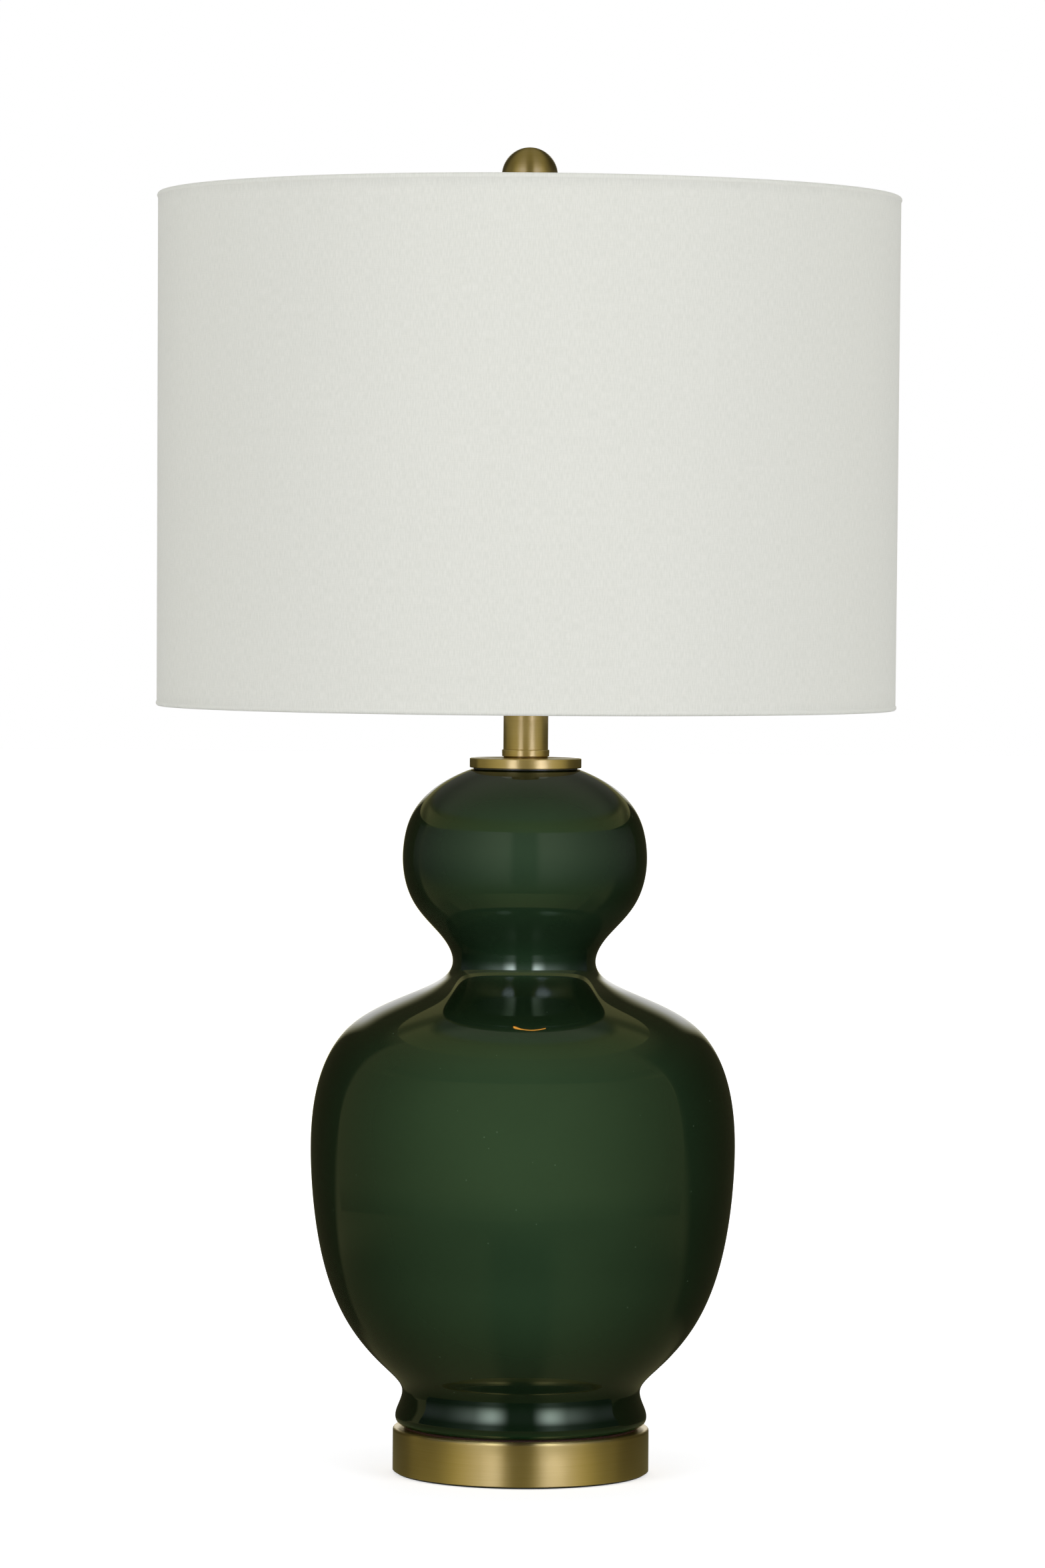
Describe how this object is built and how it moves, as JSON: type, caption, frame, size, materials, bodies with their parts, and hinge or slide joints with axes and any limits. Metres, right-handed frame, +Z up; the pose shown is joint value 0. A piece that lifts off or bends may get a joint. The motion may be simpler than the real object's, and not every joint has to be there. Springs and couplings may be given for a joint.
{
  "type": "table lamp",
  "caption": "Table lamp with a double gourd glass body on a round brass base, a brass neck and a white drum shade held on a harp by a ball finial.",
  "frame": {"origin": "centre of the felt pad's underside, where the lamp stands", "axes": "+Z up along the lamp's axis, -Y towards the front with the switch knob, +Y towards the cord outlet and the shade's seam"},
  "size_m": [0.4061, 0.4062, 0.7254],
  "materials": {
    "satin_brass": "satin, finely brushed round the axis",
    "socket_brass": "bright plated",
    "contact_brass": "bare",
    "zinc_steel": "zinc plated",
    "felt": "felt",
    "iron": "as cast, black",
    "black_plastic": "matte",
    "clear_plastic": "natural, cloudy",
    "gasket_rubber": "matte",
    "green_glass": "gloss, cased, opaque",
    "liner_card": "pressed",
    "moulded_black": "moulded",
    "aluminium": "rolled",
    "frosted_glass": "frosted",
    "seal_glass": "gloss",
    "solder": "soldered",
    "shade_cloth": "fine linen weave on a stiff backing",
    "white_wire": "white powder coat"
  },
  "bodies": {
    "lamp_base": {"base_pad": "felt", "base_weight": "iron", "base_shell": "satin_brass", "cord_bushing": "black_plastic", "flat_washer": "zinc_steel", "lock_washer": "zinc_steel", "bottom_nut": "zinc_steel", "saddle_nut": "zinc_steel", "centre_pipe": "zinc_steel", "foot_gasket": "gasket_rubber", "foot_plug": "clear_plastic", "gourd_body": "green_glass", "mouth_plug": "clear_plastic", "neck_plate": "satin_brass", "neck_collar": "satin_brass", "neck_tube": "satin_brass", "tube_cap": "satin_brass", "harp_saddle": "satin_brass", "socket_cap": "socket_brass", "cap_set_screw": "zinc_steel", "socket_shell": "socket_brass", "socket_liner": "liner_card", "socket_body": "moulded_black", "screw_shell": "aluminium", "centre_contact": "contact_brass", "terminal_screws": "contact_brass"},
    "switch_knob": {"switch_knob": "black_plastic", "switch_shaft": "zinc_steel"},
    "bulb": {"bulb_glass": "frosted_glass", "bulb_cap": "aluminium", "bulb_seal": "seal_glass", "bulb_contact": "solder"},
    "harp": {"harp_frame": "satin_brass"},
    "sleeve_left": {"harp_sleeve_left": "satin_brass"},
    "sleeve_right": {"harp_sleeve_right": "satin_brass"},
    "stud": {"harp_stud": "satin_brass"},
    "shade": {"shade_skin": "shade_cloth", "shade_fitter": "white_wire", "shade_bottom_ring": "white_wire"},
    "finial": {"finial_foot": "satin_brass", "finial_ball": "satin_brass"}
  },
  "joints": [
    {"name": "switch_turn", "type": "hinge", "parent": "lamp_base", "child": "switch_knob", "pos_m": [0, -0.0301, 0.4862], "axis": [0, -1, 0], "continuous": true},
    {"name": "bulb_unscrew", "type": "slide", "parent": "lamp_base", "child": "bulb", "axis": [0, 0, 1], "range_m": [0, 0.03]},
    {"name": "harp_lift", "type": "slide", "parent": "lamp_base", "child": "harp", "axis": [0, 0, 1], "range_m": [0, 0.025]},
    {"name": "sleeve_left_lift", "type": "slide", "parent": "harp", "child": "sleeve_left", "axis": [0, 0, 1], "range_m": [0, 0.01]},
    {"name": "sleeve_right_lift", "type": "slide", "parent": "harp", "child": "sleeve_right", "axis": [0, 0, 1], "range_m": [0, 0.01]},
    {"name": "shade_swivel", "type": "hinge", "parent": "harp", "child": "stud", "pos_m": [0, 0, 0.6871], "axis": [0, 0, 1], "continuous": true},
    {"name": "shade_lift", "type": "slide", "parent": "stud", "child": "shade", "axis": [0, 0, 1], "range_m": [0, 0.3]},
    {"name": "finial_turn", "type": "hinge", "parent": "shade", "child": "finial", "pos_m": [0, 0, 0.6907], "axis": [0, 0, 1], "continuous": true}
  ]
}
